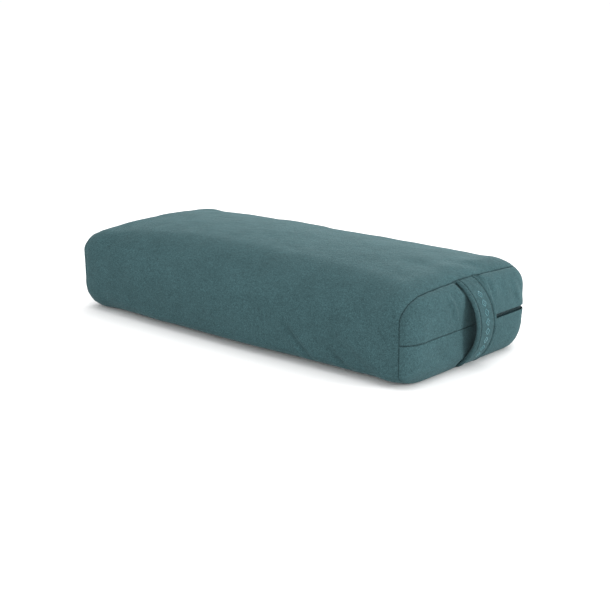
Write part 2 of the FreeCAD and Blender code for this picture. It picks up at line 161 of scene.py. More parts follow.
class Outline:
    """Where the rows run round the body's cross-section, starting at the back seam and going up."""

    def __init__(self, coarse, grade=True):
        def spread(length, step, odd=False):
            count = max(2, round(length / step) + 1)
            return np.linspace(0, 1, count + (odd and count % 2 == 0))

        def level(length):
            return graded(length, coarse, both=False) if grade else spread(length, coarse)

        def marks(side, corner, flat, start):
            """Row numbers where a half section's two corners are half turned, and where it ends."""
            at = start + np.cumsum([len(part) - 1 for part in (side, corner, flat, corner, side)])
            half = (len(corner) - 1) // 2
            return (at[0] + half, at[2] + half), at[4]

        self.up = level(END_HEIGHT - TOP_CORNER - ZIP_Z)
        self.low = level(ZIP_Z - BASE_CORNER)
        self.top_corner = spread(TOP_CORNER * math.pi / 2, coarse * 0.85, odd=True)
        self.top = spread(2 * (END_HALF - TOP_CORNER), coarse)
        self.base_corner = spread(BASE_CORNER * math.pi / 2, coarse, odd=True)
        self.base = spread(2 * (END_HALF - BASE_CORNER), coarse * 2)
        self.top_marks, self.front = marks(self.up, self.top_corner, self.top, 0)
        self.base_marks, last = marks(self.low, self.base_corner, self.base, self.front)
        self.count = last + 1

    def points(self, u):
        """(count, 2) array of (y, z) at a share u of the half length. The first and last points
        meet at the back, level with the zip."""
        side, top, crown = fullness(u)
        w = END_HALF + SIDE_FULL * side
        h = END_HEIGHT + TOP_FULL * top
        rt, rb = TOP_CORNER + TOP_CORNER_MORE * side, BASE_CORNER

        def line(a, b, shares):
            return np.outer(1 - shares, a) + np.outer(shares, b)

        def arc(cy, cz, ry, rz, start, shares):
            angle = start + shares * math.pi / 2
            return np.stack([cy + ry * np.cos(angle), cz + rz * np.sin(angle)], 1)

        corner = arc(w - rt, h - rt, rt, rt, 0, self.top_corner)
        back_up = np.vstack([line((w, ZIP_Z), (w, h - rt), self.up), corner[1:]])
        soft = smooth((u + 1.0) / FAR_SPAN)
        wide = FAR_WIDTH + (1 - FAR_WIDTH) * soft
        across, down = (rt + share * (end + (mid - end) * side - rt)
                        for share, end, mid in zip((wide, soft), FRONT_CORNER, FRONT_CORNER_MID))
        top_line = line((w - rt, h), (-(w - across), h), self.top)
        corner = arc(-(w - across), h - down, across, down, math.pi / 2, self.top_corner)
        front_up = np.vstack([corner, line((-w, h - down), (-w, ZIP_Z), 1 - self.up[::-1])[1:]])
        corner = arc(w - rb, rb, -rb, rb, math.pi, self.base_corner)
        back_low = np.vstack([line((w, ZIP_Z), (w, rb), self.low), corner[1:]])
        under, up = (a + (b - a) * soft for a, b in zip(FAR_BASE_CORNER, FRONT_BASE_CORNER))
        base_line = line((-(w - under), 0), (w - rb, 0), self.base)
        corner = arc(-(w - under), up, under, up, math.pi, self.base_corner)
        front_low = np.vstack([line((-w, ZIP_Z), (-w, up), self.low), corner[1:]])
        loop = np.vstack([back_up, top_line[1:], front_up[1:], front_low[1:], base_line[1:],
                          back_low[::-1][1:]])
        y, z = loop.T
        rise = CROWN_END + CROWN_MID * crown
        lift = rise * np.clip(1 - (y / w) ** 2, 0, 1) * np.clip(z / h, 0, 1) ** 2
        back = BACK_CENTRE_Y + math.sqrt(BACK_R ** 2 - (u * SEAM_X) ** 2) - w
        bow = SIDE_SAG * side * np.clip(1 - ((z - h / 2) / (h / 2)) ** 2, 0, 1)
        bow += (y > 0) * (back - SIDE_SAG * side) * np.exp(-((z - ZIP_Z) / (28 + 26 * side)) ** 2)
        bow *= np.clip(np.abs(y) / w, 0, 1) ** 3
        return np.stack([y + np.sign(y) * bow, z + lift * (z > 1)], 1)


# ---- grids ----

def wrap_grid(outline, coarse, grade=True):
    """The wrap: stations along X by rows round the section. The finished wrap's two edges along
    the back stay apart by a hair, so that they are sewn or zipped rather than joined."""
    length = 2 * SEAM_X
    shares = graded(length, coarse) if grade else np.linspace(0, 1, round(length / coarse) + 1)
    rows = []
    for x in -SEAM_X + shares * length:
        section = outline.points(x / SEAM_X)
        rows.append(np.column_stack([np.full(len(section), x), section]))
    rows = np.array(rows)
    if grade:
        rows[:, 0, 2] += HAIR
        rows[:, -1, 2] -= HAIR
    return rows


def shoulder_curve(samples=400):
    """Inset from the end seam, distance out and length along an end panel's rounded shoulder."""
    angle = np.linspace(RISE_FROM, math.pi / 2, samples)
    inset = SHOULDER * (math.cos(RISE_FROM) - np.cos(angle)) / math.cos(RISE_FROM)
    out = PUFF * (np.sin(angle) - math.sin(RISE_FROM)) / (1 - math.sin(RISE_FROM))
    along = np.concatenate([[0], np.cumsum(np.hypot(np.diff(inset), np.diff(out)))])
    return inset, out, along


def coons(bottom, top, left, right):
    """Patch of points between four edges. Bottom and top run the same way, and left and right run
    from bottom to top."""
    nu, nv = len(bottom), len(left)
    u = np.linspace(0, 1, nu)[None, :, None]
    v = np.linspace(0, 1, nv)[:, None, None]
    across = (1 - v) * bottom[None] + v * top[None]
    along = (1 - u) * left[:, None] + u * right[:, None]
    flat = ((1 - u) * (1 - v) * bottom[0] + u * (1 - v) * bottom[-1]
            + (1 - u) * v * top[0] + u * v * top[-1])
    return across + along - flat


def end_grids(outline, sign, coarse, grade=True):
    """Grids of an end panel, upper half then lower half. Each half is the shoulder's rings and
    the flat patch inside them."""
    inset, out, along = shoulder_curve()
    if grade:
        shares = graded(along[-1], coarse, both=False)
    else:
        shares = np.linspace(0, 1, round(along[-1] / coarse) + 1)
    ring_inset = np.interp(shares * along[-1], along, inset)
    ring_out = np.interp(shares * along[-1], along, out)
    seam = outline.points(float(sign))
    by_zip = (seam[:, 0] > 0) * np.exp(-((seam[:, 1] - ZIP_Z) / ZIP_REACH) ** 2) * (sign > 0)
    tight = 1 - (1 - CAD_SHOULDER / SHOULDER) * by_zip
    rings = []
    for d, x in zip(ring_inset, ring_out):
        y = seam[:, 0] * (1 - d * tight / END_HALF)
        z = ZIP_Z + (seam[:, 1] - ZIP_Z) * (1 - d / ZIP_Z)
        rings.append(np.column_stack([np.full(len(seam), sign * (SEAM_X + x)), y, z]))
    rings = np.array(rings)
    inner = rings[-1]
    halves = []
    for start, marks, stop in ((0, outline.top_marks, outline.front),
                               (outline.front, outline.base_marks, outline.count - 1)):
        first, second = marks
        edge = inner[start:stop + 1]
        left = edge[:first - start + 1]
        top = edge[first - start:second - start + 1]
        right = edge[second - start:][::-1]
        shares = np.linspace(0, 1, len(top))[:, None]
        bottom = left[0] * (1 - shares) + right[0] * shares
        halves.append([rings[:, start:stop + 1], coons(bottom, top, left, right)])
    return halves


def grid_faces(shape, first):
    rows, cols = shape
    index = first + np.arange(rows * cols).reshape(rows, cols)
    quads = np.stack([index[:-1, :-1], index[1:, :-1], index[1:, 1:], index[:-1, 1:]], -1)
    return quads.reshape(-1, 4)


def add_object(name, data):
    obj = bpy.data.objects.new(name, data)
    bpy.context.scene.collection.objects.link(obj)
    return obj


def mesh_from_grids(name, grids, weld=0.02):
    """One mesh from grids of points in millimetres, joined where their edges coincide."""
    points, faces, first = [], [], 0
    for grid in grids:
        points.append(grid.reshape(-1, 3))
        faces.append(grid_faces(grid.shape[:2], first))
        first += len(points[-1])
    mesh = bpy.data.meshes.new(name)
    mesh.from_pydata((np.vstack(points) * MM).tolist(), [], np.vstack(faces).tolist())
    bm = bmesh.new()
    bm.from_mesh(mesh)
    bmesh.ops.remove_doubles(bm, verts=bm.verts, dist=weld * MM)
    bmesh.ops.recalc_face_normals(bm, faces=bm.faces)
    bm.to_mesh(mesh)
    bm.free()
    return add_object(name, mesh)


def read_points(obj):
    values = np.empty(len(obj.data.vertices) * 3)
    obj.data.vertices.foreach_get("co", values)
    return values.reshape(-1, 3) / MM


def read_normals(obj):
    values = np.empty(len(obj.data.vertices) * 3)
    obj.data.vertex_normals.foreach_get("vector", values)
    return values.reshape(-1, 3)


def write_points(obj, points):
    obj.data.vertices.foreach_set("co", (points * MM).ravel())
    obj.data.update()


def face_outwards(obj, centre):
    """Turn the faces so that their normals point away from a centre, in millimetres."""
    points, normals = read_points(obj), read_normals(obj)
    if ((points - centre) * normals).sum() < 0:
        obj.data.flip_normals()
        obj.data.update()


# ---- noise ----

class Waves:
    """Smooth, repeatable noise near -1 to 1: a sum of sine waves in random directions."""

    def __init__(self, seed, size, count=14):
        rng = np.random.default_rng(seed)
        direction = rng.normal(size=(count, 3))
        direction /= np.linalg.norm(direction, axis=1)[:, None]
        self.k = direction * (2 * math.pi / (size * rng.uniform(0.7, 1.6, size=(count, 1))))
        self.phase = rng.uniform(0, 2 * math.pi, count)
        self.scale = 1.4 / math.sqrt(count)

    def __call__(self, points):
        return np.sin(points @ self.k.T + self.phase).sum(1) * self.scale


# ---- cloth simulation ----

def closed_body(name, coarse):
    outline = Outline(coarse, grade=False)
    grids = [wrap_grid(outline, coarse, grade=False)]
    for sign in (-1, 1):
        for half in end_grids(outline, sign, coarse, grade=False):
            grids += half
    body = mesh_from_grids(name, grids, weld=0.3)
    face_outwards(body, np.array([0, 0, 60.0]))
    return body


def near_seam(points, reach):
    """True for points within reach of an end seam, of the back seam or of the end's mid seam."""
    x, y, z = points.T
    end = np.abs(np.abs(x) - SEAM_X) < reach
    level = (np.abs(z - ZIP_Z) < reach) & ((y > END_HALF * 0.8) | (x > SEAM_X))
    return end | level


CLOTH_SETTINGS = {
    "quality": 5, "mass": 0.25, "tension_stiffness": 25, "compression_stiffness": 25,
    "shear_stiffness": 12, "bending_stiffness": 0.8, "tension_damping": 8, "compression_damping": 8,
    "shear_damping": 8, "air_damping": 4, "shrink_min": -0.022, "use_pressure": True,
    "uniform_pressure_force": 4.0,
}


def simulate():
    """Inflate a slightly over-large cover held at its seams and base. Returns where its points
    were and the wrinkles that it gained, without the overall swelling."""
    body = closed_body("sim_body", SIM_STEP)
    rest = read_points(body)
    held = body.vertex_groups.new(name="held")
    pinned = near_seam(rest, 1.0) | (rest[:, 2] < 2.0)
    strap = (rest[:, 0] > SEAM_X - 10) & (np.abs(rest[:, 1] - STRAP_Y) < STRAP_HALF + 3)
    held.add(np.flatnonzero(pinned | strap).tolist(), 1.0, "REPLACE")
    cloth = body.modifiers.new("cloth", "CLOTH")
    settings = cloth.settings
    for key, value in CLOTH_SETTINGS.items():
        setattr(settings, key, value)
    settings.vertex_group_mass = held.name
    settings.effector_weights.gravity = 0
    cloth.collision_settings.use_collision = False
    cloth.point_cache.frame_start = 1
    cloth.point_cache.frame_end = SIM_FRAMES
    scene = bpy.context.scene
    for number in range(1, SIM_FRAMES + 1):
        scene.frame_set(number)
    graph = bpy.context.evaluated_depsgraph_get()
    moved = read_points(body.evaluated_get(graph)) - rest
    scene.frame_set(1)
    edges = np.empty(len(body.data.edges) * 2, int)
    body.data.edges.foreach_get("vertices", edges)
    edges = edges.reshape(-1, 2)
    broad = spread_over_edges(moved, edges, rounds=40)
    bpy.data.objects.remove(body)
    return rest, moved - broad


def spread_over_edges(values, edges, rounds):
    """Even values out along a mesh's edges."""
    count = np.bincount(edges.ravel(), minlength=len(values))[:, None]
    result = values.copy()
    for _ in range(rounds):
        total = np.zeros_like(result)
        np.add.at(total, edges[:, 0], result[edges[:, 1]])
        np.add.at(total, edges[:, 1], result[edges[:, 0]])
        result = 0.5 * result + 0.5 * total / np.maximum(count, 1)
    return result


class Field:
    """Smoothly interpolates a vector known at scattered points."""

    def __init__(self, places, values, size):
        self.tree = KDTree(len(places))
        for i, place in enumerate(places):
            self.tree.insert(place, i)
        self.tree.balance()
        self.values = values
        self.size = size

    def __call__(self, points):
        result = np.zeros((len(points), 3))
        for i, point in enumerate(points):
            near = self.tree.find_n(point, 10)
            index = [n[1] for n in near]
            weight = np.exp(-(np.array([n[2] for n in near]) / self.size) ** 2) + 1e-9
            result[i] = weight @ self.values[index] / weight.sum()
        return result


# ---- what sewing does to the cloth ----

class Crease:
    """A soft valley along a bent line, with a ridge on each side, fading out at both ends."""

    def __init__(self, line, width, depth, ridge=0.35):
        a, b, c = (np.array(p, float) for p in line)
        t = np.linspace(0, 1, 40)[:, None]
        self.line = a * (1 - t) ** 2 + 2 * b * t * (1 - t) + c * t ** 2
        self.fade = np.sin(np.pi * np.linspace(0.02, 0.98, 40)) ** 0.8
        self.width, self.depth, self.ridge = width, depth, ridge

    def __call__(self, points):
        gap = np.full(len(points), 1e9)
        fade = np.zeros(len(points))
        for place, strength in zip(self.line, self.fade):
            d = np.linalg.norm(points - place, axis=1)
            closer = d < gap
            gap[closer] = d[closer]
            fade[closer] = strength
        valley = -np.exp(-(gap / self.width) ** 2)
        ridges = self.ridge * np.exp(-((gap - 2.1 * self.width) / (0.9 * self.width)) ** 2)
        return self.depth * fade * (valley + ridges)


# A line is three points in millimetres: where the crease starts, bends towards and ends. Then
# come its width and its depth, which is below zero for a raised fold.
CREASES = [
    Crease([(118, -153, 62), (140, -153, 30), (172, -146, 6)], 4.2, 3.4),
    Crease([(188, -151, 40), (212, -151, 22), (240, -142, 5)], 4.2, 3.0),
    Crease([(206, -151, 66), (262, -150, 38), (304, -142, 8)], 8.0, -3.4, 0.25),
    Crease([(296, -148, 112), (302, -149, 80), (303, -148, 44)], 5.0, 1.1),
    Crease([(262, -60, 137), (292, -80, 133), (308, -108, 125)], 15.0, 0.7),
    Crease([(200, -8, 138), (250, -28, 137), (300, -34, 129)], 17.0, 0.8),
    Crease([(284, 22, 134), (300, 44, 131), (309, 70, 127)], 9.0, 1.0),
    Crease([(-306, -128, 112), (-290, -140, 96), (-262, -149, 88)], 8.0, 0.9),
    Crease([(-304, -148, 40), (-280, -152, 30), (-240, -152, 14)], 7.0, 1.0),
    Crease([(-296, 60, 126), (-270, 90, 128), (-240, 120, 124)], 12.0, 1.1),
    Crease([(180, 154, 96), (230, 152, 104), (286, 147, 112)], 9.0, 1.2),
    Crease([(-120, 158, 34), (-190, 156, 22), (-250, 150, 12)], 8.0, 1.2),
]
END_CREASES = [
    Crease([(328, -56, 114), (331, -46, 96), (331, -34, 74)], 4.0, -2.4, 0.3),
    Crease([(329, 98, 106), (331, 112, 86), (329, 122, 66)], 5.0, -2.4, 0.3),
    Crease([(322, 40, 121), (328, 44, 108), (330, 52, 88)], 3.6, 2.4),
    Crease([(328, -44, 14), (331, -70, 32), (330, -104, 44)], 7.0, 2.0),
    Crease([(326, 60, 108), (331, 74, 92), (331, 80, 78)], 6.0, 0.7),
    Crease([(-330, -70, 96), (-331, -40, 80), (-331, 10, 72)], 12.0, 0.9),
    Crease([(-328, 96, 30), (-331, 70, 44), (-331, 40, 50)], 10.0, 0.9),
]


def rolled(distance, radius):
    """How far cloth has turned in, at a distance from a sewn edge."""
    s = np.clip(distance, 0, radius)
    return radius - np.sqrt(radius ** 2 - (radius - s) ** 2)


class Pillow:
    """Shared fields that shape every piece of the cover alike."""

    def __init__(self, wrinkles):
        self.wrinkles = wrinkles
        self.broad = Waves(3, 150)
        self.middle = Waves(5, 52)
        self.small = Waves(8, 21)
        self.pucker = Waves(11, 9)
        self.inset, self.out, self.along = shoulder_curve()

    def seam_distances(self, points):
        """Distances from the end seam and from the seam at the zip's level."""
        x, y, z = points.T
        beyond = np.abs(x) - SEAM_X
        end = np.where(beyond > 1e-6, np.interp(beyond, self.out, self.along), -beyond)
        flat = beyond > PUFF - 0.05
        end = np.where(flat, self.along[-1], end)
        has_level = (x > SEAM_X) | ((y > END_HALF * 0.8) & (np.abs(x) <= SEAM_X + 1e-6))
        level = np.where(has_level, np.abs(z - ZIP_Z), 1e3)
        return end, level

    def open_share(self, points):
        """1 where the zip holds its two edges apart, 0 where they are sewn together."""
        x, y, _ = points.T
        on_end = smooth((y - ZIP_START_Y - 4.0) / 5.0) * (x > SEAM_X - 1)
        on_back = smooth((x - ZIP_END_X) / 6.0) * (y > END_HALF * 0.8)
        return np.maximum(on_end, on_back)

    def strap_share(self, y, reach):
        return smooth(1 - (np.abs(y - STRAP_Y) - STRAP_HALF - 0.5) / reach)

    def under_strap(self, points, depth=0.0):
        """Press the handle end in where the sewn ends of the strap lie on it."""
        x, y, z = points.T
        dx, dz = x - HANDLE_AXIS[0], z - HANDLE_AXIS[1]
        r = np.hypot(dx, dz)
        limit = STRAP_R - STRAP_T - 0.4 - depth
        share = self.strap_share(y, 10.0) * (x > SEAM_X - 0.01)
        scale = 1 - share * np.maximum(r - limit, 0) / np.maximum(r, 1)
        return np.column_stack([HANDLE_AXIS[0] + dx * scale, y, HANDLE_AXIS[1] + dz * scale])

    def shape(self, points, normals, half_sign=0):
        """Points of the finished cloth. half_sign is 1 on a panel above the zip and -1 below it."""
        x, y, z = points.T
        end, level = self.seam_distances(points)
        opened = self.open_share(points)
        stiff = 1 - 0.85 * opened * np.exp(-(level / 16.0) ** 2)
        free = smooth(end / 9.0) * smooth(level / 9.0) * smooth(z / 14.0) * stiff
        strap_zone = (x > SEAM_X - 2) * self.strap_share(y, 12.0)
        free = free * (1 - 0.7 * strap_zone)
        relief = 0.9 + 0.55 * self.broad(points) + 0.18 * self.middle(points)
        relief += 0.04 * self.small(points)
        for crease in CREASES:
            relief += crease(points) * (np.abs(x) < SEAM_X)
        for crease in END_CREASES:
            relief += crease(points) * (np.abs(x) > SEAM_X)
        relief *= free
        pull = 0.9 * np.exp(-end / 5.0) + 0.5 * np.exp(-level / 5.0) * (1 - opened)
        swell = SWELL * np.exp(-((end - 24.0) / 17.0) ** 2) * (np.abs(x) < SEAM_X)
        pucker = 0.35 * self.pucker(points)
        pucker *= np.exp(-end / 5.0) + np.exp(-level / 4.0) * (1 - opened)
        relief += (pucker - pull + swell * (1 - 0.7 * strap_zone)) * smooth(z / 6.0)
        rise = self.wrinkles(points) * (smooth(z / 10.0) * stiff)[:, None]
        shaped = points + rise + normals * relief[:, None]
        lift = 1.7 * np.exp(-np.maximum(SEAM_X - x, 0) / 12.0) * self.strap_share(y, 12.0)
        shaped[:, 2] += lift * (np.abs(x) <= SEAM_X) * (z > ZIP_Z)
        shaped = self.under_strap(shaped) if x.max() > SEAM_X + 1 else shaped
        side = half_sign if half_sign else np.sign(z - ZIP_Z)
        shaped[:, 2] += side * SLOT_HALF * opened * np.exp(-(level / 11.0) ** 2)
        lip = np.where(opened > 0.5, rolled(level, LIP_ROLL), rolled(level, SEAM_ROLL * 0.9))
        turn = np.maximum(rolled(end, SEAM_ROLL), lip)
        shaped -= normals * turn[:, None]
        resting = (z < 0.01) & (end > 0.01)
        shaped[:, 2] = np.where(resting, 0.0, np.maximum(shaped[:, 2], 0.0))
        return shaped


def add_flange(obj, points, normals, pillow):
    """Turn the sewn edges further in, so that no gap shows between two sewn pieces. Edges of the
    zip's slot are only folded."""
    bm = bmesh.new()
    bm.from_mesh(obj.data)
    bm.verts.ensure_lookup_table()
    rim = [edge for edge in bm.edges if edge.is_boundary]
    before = len(bm.verts)
    pairs = {}
    made = bmesh.ops.extrude_edge_only(bm, edges=rim)
    fresh = [v for v in made["geom"] if isinstance(v, bmesh.types.BMVert)]
    for v in fresh:
        pairs[v] = next(e.other_vert(v).index for e in v.link_edges
                        if 0 <= e.other_vert(v).index < before)
    opened = pillow.open_share(points)
    end, level = pillow.seam_distances(points)
    for v, index in pairs.items():
        zip_edge = opened[index] > 0.5 and level[index] < 2 * HAIR and end[index] > 4.0
        depth = LIP_FLANGE if zip_edge else FLANGE
        v.co -= Vector(normals[index]) * depth * MM
    bm.to_mesh(obj.data)
    bm.free()
    obj.data.update()


def cloth_piece(name, grids, pillow, centre, half_sign=0):
    """One piece of the cover, from its grids to a closed sheet with thickness."""
    obj = mesh_from_grids(name, grids, weld=0.01)
    face_outwards(obj, centre)
    points, normals = read_points(obj), read_normals(obj)
    end, level = pillow.seam_distances(points)
    level = np.where(pillow.open_share(points) > 0.5, 1e3, level)
    # Painted shade: the colour is darkened within about a millimetre of each sewn seam, except along
    # the zip's open slot.
    painted_shade = np.exp(-(np.minimum(end, level) / 0.9) ** 2)
    # More painted shade along the first two folds in CREASES.
    for crease in CREASES[:2]:
        painted_shade = np.maximum(painted_shade, 0.13 * np.clip(-crease(points), 0, 3))
    add_painted_shade(obj, painted_shade)
    write_points(obj, pillow.shape(points, normals, half_sign))
    add_flange(obj, points, normals, pillow)
    solid = obj.modifiers.new("thickness", "SOLIDIFY")
    solid.thickness = COVER_T * MM
    solid.offset = -1
    apply_modifiers(obj)
    shade_smooth(obj)
    return obj


def apply_modifiers(obj):
    graph = bpy.context.evaluated_depsgraph_get()
    mesh = bpy.data.meshes.new_from_object(obj.evaluated_get(graph))
    obj.modifiers.clear()
    old = obj.data
    obj.data = mesh
    bpy.data.meshes.remove(old)


def close_ends(obj):
    """Cap the open ends of a tube."""
    bm = bmesh.new()
    bm.from_mesh(obj.data)
    bmesh.ops.holes_fill(bm, edges=[e for e in bm.edges if e.is_boundary], sides=0)
    bmesh.ops.recalc_face_normals(bm, faces=bm.faces)
    bm.to_mesh(obj.data)
    bm.free()


def add_painted_shade(obj, painted_shade):
    """Store painted shade for each point, from 0 to 1, in the crease attribute: the suede darkens its
    colour by it in seams, folds and stitched valleys.
    """
    creased = obj.data.attributes.new("crease", "FLOAT", "POINT")
    creased.data.foreach_set("value", painted_shade)


def shade_smooth(obj):
    obj.data.polygons.foreach_set("use_smooth", [True] * len(obj.data.polygons))
    obj.data.update()


def build_cover(wrinkles):
    """The wrap, the far panel and the two halves of the handle-end panel."""
    pillow = Pillow(wrinkles)
    outline = Outline(CLOTH_STEP)
    middle = np.array([0, 0, ZIP_Z])
    wrap = cloth_piece("cover_wrap_cloth", [wrap_grid(outline, CLOTH_STEP)], pillow, middle)
    far = end_grids(outline, -1, CLOTH_STEP)
    far_panel = cloth_piece("far_end_panel_cloth", far[0] + far[1], pillow, middle)
    near = end_grids(outline, 1, CLOTH_STEP)
    upper = cloth_piece("handle_end_upper_cloth", near[0], pillow, middle, 1)
    lower = cloth_piece("handle_end_lower_cloth", near[1], pillow, middle, -1)
    return pillow, wrap, far_panel, upper, lower


def build_inner_bag(pillow):
    """The stuffed inner bag, a little smaller than the cover and hollowed behind the zip."""
    bag = closed_body("inner_bag", 9.0)
    points, normals = read_points(bag), read_normals(bag)
    _, level = pillow.seam_distances(points)
    inset = 5.0 + 4.5 * pillow.open_share(points) * np.exp(-(level / 13.0) ** 2)
    shaped = pillow.under_strap(points, 3.0)
    shaped -= normals * inset[:, None]
    shaped[:, 2] = np.maximum(shaped[:, 2], 2.0)
    write_points(bag, shaped)
    shade_smooth(bag)
    return bag


# ---- handle ----

def strap_place(angle, across, out):
    """Point on the strap: an angle up round its bow, a distance across it from its middle and a
    height out from its middle surface, in millimetres. Takes arrays."""
    r = STRAP_R - STRAP_T / 2 + out
    x = HANDLE_AXIS[0] + r * np.cos(angle)
    z = HANDLE_AXIS[1] + r * np.sin(angle)
    return np.stack(np.broadcast_arrays(x, STRAP_Y + across, z), -1)


def strap_half_thickness(edge):
    """Half the strap's thickness at a distance in from its edge, over the rolled edge, the stitched
    valley and the padded middle."""
    bead = 0.9 * np.exp(-((edge - BEAD) / 1.9) ** 2)
    valley = 1.4 * np.exp(-((edge - STITCH_IN) / STITCH_WIDTH) ** 2)
    body = STRAP_T / 2 + bead - valley
    round_edge = np.sqrt(np.clip(1 - (1 - np.clip(edge / BEAD, 0, 1)) ** 2, 0, 1))
    return body * round_edge


def build_strap():
    """Padded strap with rolled edges, tapering flat where it goes into the seams."""
    rim = [0, 0.15, 0.5, 1.0, 1.6, 2.4, 3.4, 4.2]
    near = STITCH_IN + np.array([-2.4, -1.6, -1.0, -0.5, 0, 0.5, 1.0, 1.6, 2.6])
    edge = np.concatenate([rim, near, np.linspace(11.6, STRAP_HALF, 7)])
    across = np.concatenate([-(STRAP_HALF - edge), (STRAP_HALF - edge)[::-1][1:]])
    thick = strap_half_thickness(STRAP_HALF - np.abs(across))
    loop_across = np.concatenate([across, across[::-1][1:-1]])
    loop_out = np.concatenate([thick, -thick[::-1][1:-1]])
    angles = np.linspace(-STRAP_END, STRAP_END, 150)
    ripple = Waves(21, 14)
    grid = np.zeros((len(angles), len(loop_across), 3))
    for i, angle in enumerate(angles):
        near_end = smooth((STRAP_END - abs(angle)) / 0.16)
        squeeze = 0.45 + 0.55 * near_end
        row = strap_place(angle, loop_across, loop_out * squeeze)
        soft = 0.16 * ripple(row)
        grid[i] = strap_place(angle, loop_across, loop_out * squeeze + soft * np.sign(loop_out))
    closed = np.concatenate([grid, grid[:, :1]], axis=1)
    strap = mesh_from_grids("handle_strap", [closed], weld=0.001)
    close_ends(strap)
    edge = STRAP_HALF - np.abs(read_points(strap)[:, 1] - STRAP_Y)
    # Painted shade along the stitched valleys, carried in the crease attribute.
    add_painted_shade(strap, 0.9 * np.exp(-((edge - STITCH_IN) / STITCH_WIDTH) ** 2))
    shade_smooth(strap)
    return strap


def thread_mesh(name, runs, radius, sides=6):
    """Short rounded threads. Each run is a list of points in millimetres, and a thread's two ends
    sink into the cloth there."""
    verts, faces = [], []
    for run in runs:
        line = np.array(run, float)
        tangent = np.gradient(line, axis=0)
        tangent /= np.linalg.norm(tangent, axis=1)[:, None]
        outward = line - np.array([HANDLE_AXIS[0], 0, HANDLE_AXIS[1]])
        outward[:, 1] = 0
        outward /= np.linalg.norm(outward, axis=1)[:, None]
        side = np.cross(tangent, outward)
        side /= np.linalg.norm(side, axis=1)[:, None]
        up = np.cross(side, tangent)
        first = len(verts)
        t = np.linspace(-1, 1, len(line))
        size = radius * np.sqrt(np.clip(1 - t ** 2 * 0.75, 0.05, 1))
        for k in range(len(line)):
            angle = np.linspace(0, 2 * math.pi, sides, endpoint=False)
            drop = -0.9 * radius * t[k] ** 4
            round_it = np.outer(np.cos(angle), side[k]) + np.outer(np.sin(angle), up[k])
            verts += (line[k] + up[k] * drop + size[k] * round_it).tolist()
        for k in range(len(line) - 1):
            for j in range(sides):
                a = first + k * sides + j
                b = first + k * sides + (j + 1) % sides
                faces.append((a, b, b + sides, a + sides))
        faces.append(tuple(first + j for j in range(sides))[::-1])
        faces.append(tuple(first + (len(line) - 1) * sides + j for j in range(sides)))
    mesh = bpy.data.meshes.new(name)
    mesh.from_pydata((np.array(verts) * MM).tolist(), [], faces)
    obj = add_object(name, mesh)
    shade_smooth(obj)
    return obj


def build_stitching():
    """Topstitches in the valleys beside both rolled edges, on both faces of the strap."""
    rng = random.Random(4)
    pitch, length = 3.3 / STRAP_R, 2.7 / STRAP_R
    runs = []
    for sign in (-1, 1):
        for face in (-1, 1):
            across = sign * (STRAP_HALF - STITCH_IN)
            out = face * (float(strap_half_thickness(np.array(STITCH_IN))) + 0.16)
            count = int((STRAP_END - 0.1) / pitch)
            for i in range(-count, count + 1):
                middle = i * pitch
                tilt = rng.uniform(-0.12, 0.12) + 0.15 * sign
                a = np.linspace(-0.5, 0.5, 5)
                runs.append(strap_place(middle + a * length, across + a * tilt, out))
    return thread_mesh("handle_stitching_thread", runs, 0.33)


def satin(start, end, width, pitch=0.36):
    """Threads laid across a stroke between two (across, along) places on the strap."""
    start, end = np.array(start, float), np.array(end, float)
    length = np.linalg.norm(end - start)
    direction = (end - start) / length
    normal = np.array([-direction[1], direction[0]])
    lean = normal + 0.35 * direction
    lean /= np.linalg.norm(lean)
    runs = []
    for share in np.linspace(0, 1, max(3, round(length / pitch))):
        middle = start + direction * length * share
        half = 0.5 * width * min(1.0, 0.5 + 4 * min(share, 1 - share))
        t = np.linspace(-1, 1, 4)
        spots = middle + np.outer(t * half, lean)
        out = STRAP_T / 2 + 0.28 * (1 - t ** 2)
        runs.append(strap_place(spots[:, 1] / STRAP_R, spots[:, 0], out))
    return runs


def build_motif(count=8, half_width=4.4, half_height=4.9, stroke=1.2, bar=1.5):
    """Satin-stitched lozenges in outline, each with a short bar inside."""
    runs = []
    low, high = node_box("handle_motif")
    reach = math.asin((high[2] - low[2]) / 2 / STRAP_R) * STRAP_R
    pitch = 2 * (reach - 4.3) / (count - 1)
    for i in range(count):
        s = (i - (count - 1) / 2) * pitch
        tips = [(half_width, s), (0, s + half_height), (-half_width, s), (0, s - half_height)]
        for a, b in zip(tips, tips[1:] + tips[:1]):
            runs += satin(a, b, stroke)
        runs += satin((0, s - bar), (0, s + bar), stroke)
    return thread_mesh("handle_motif_thread", runs, 0.21, sides=5)


# ---- zip ----

